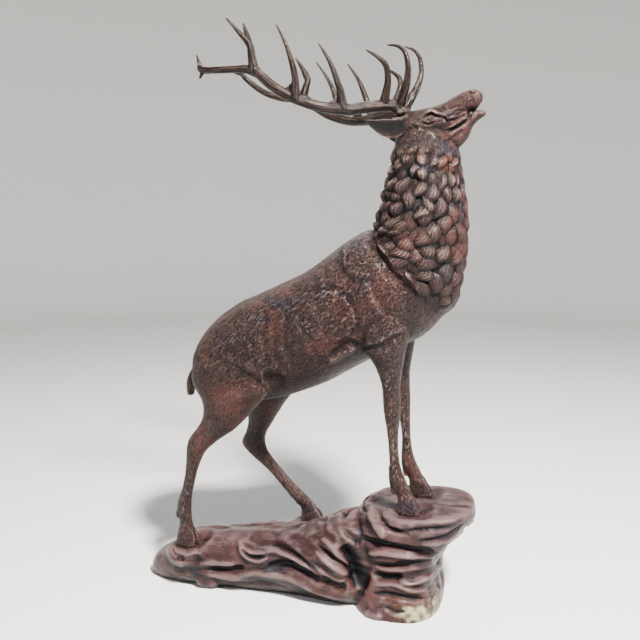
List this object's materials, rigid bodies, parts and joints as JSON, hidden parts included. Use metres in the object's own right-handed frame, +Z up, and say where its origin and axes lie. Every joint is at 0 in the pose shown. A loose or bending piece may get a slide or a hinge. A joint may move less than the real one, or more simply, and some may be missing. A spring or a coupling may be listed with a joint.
{
  "type": "stag sculpture",
  "caption": "Life-size cast bronze red deer stag, head raised and bellowing, swept-back antlers, standing uphill on an overhanging rock base.",
  "frame": {"origin": "on the flat underside of the rock base, in the figure's middle plane, below its belly", "axes": "+X towards the stag's head, +Y to its left, +Z up"},
  "size_m": [1.4186, 0.6165, 2.311],
  "materials": {
    "body_bronze": "cast bronze, brown patina with reddish and violet clouds, worn pale on the high places, half gloss",
    "antler_bronze": "cast bronze, dark umber patina, pale rubbed ridges, half gloss",
    "rock_bronze": "cast bronze, brown and violet patina, glossy folds, pale lime marks by the foot"
  },
  "bodies": {
    "root": {"stag": "body_bronze", "right_antler": "antler_bronze", "left_antler": "antler_bronze", "rock_base": "rock_bronze"}
  },
  "joints": []
}
